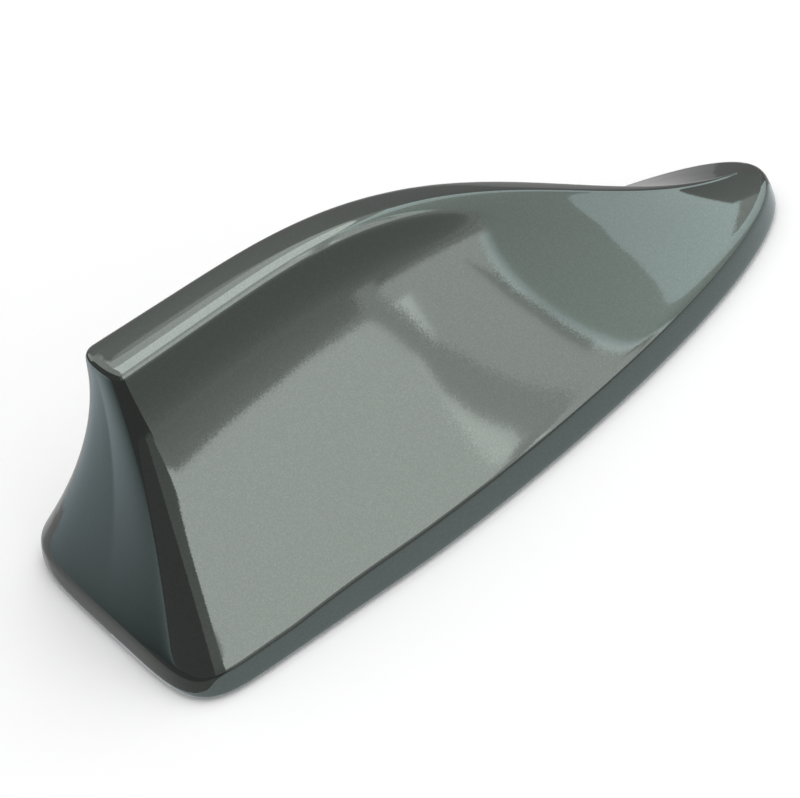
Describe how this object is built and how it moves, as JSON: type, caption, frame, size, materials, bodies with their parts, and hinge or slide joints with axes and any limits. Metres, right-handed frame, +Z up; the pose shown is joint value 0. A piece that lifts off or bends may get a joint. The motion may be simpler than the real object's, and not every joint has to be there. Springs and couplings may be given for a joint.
{
  "type": "shark fin aerial",
  "caption": "Stick-on shark fin roof aerial for a car: a painted moulded fin over a base plate, with an amplified aerial inside and a hole for the lead.",
  "frame": {"origin": "middle of the aerial's length and width, on the face of the mounting tape that meets the roof", "axes": "+X towards the nose, +Y to the left, +Z up out of the roof"},
  "size_m": [0.167, 0.0668, 0.0629],
  "materials": {
    "painted_abs": "moulded ABS, sprayed dark grey-green with fine metal flake under clear coat",
    "black_abs": "moulded black ABS with a fine spark-eroded grain",
    "seal_rubber": "extruded EPDM rubber",
    "foam_tape": "acrylic foam mounting tape",
    "grommet_rubber": "moulded rubber",
    "board_laminate": "glass-epoxy laminate with green solder resist",
    "tinned_steel": "tin-plated steel sheet",
    "chip_resin": "moulded epoxy",
    "capacitor_ceramic": "fired ceramic",
    "choke_ferrite": "ferrite drum with enamelled wire",
    "pin_brass": "tinned brass",
    "carrier_abs": "moulded dark grey ABS",
    "aerial_sheet": "tin-plated steel sheet, stamped and folded",
    "coil_copper": "enamelled copper wire",
    "former_nylon": "natural nylon",
    "screw_steel": "zinc-plated steel"
  },
  "bodies": {
    "root": {"cover": "painted_abs", "base_plate": "black_abs", "seal_ring": "seal_rubber", "adhesive_pad": "foam_tape", "cable_grommet": "grommet_rubber", "amplifier_board": "board_laminate", "shield_can": "tinned_steel", "amplifier_chip": "chip_resin", "board_capacitors": "capacitor_ceramic", "board_inductor": "choke_ferrite", "lead_pins": "pin_brass", "aerial_carrier": "carrier_abs", "top_plate": "aerial_sheet", "loading_coil": "coil_copper", "coil_former": "former_nylon", "cover_screws": "screw_steel", "board_screws": "screw_steel", "carrier_screws": "screw_steel"}
  },
  "joints": []
}
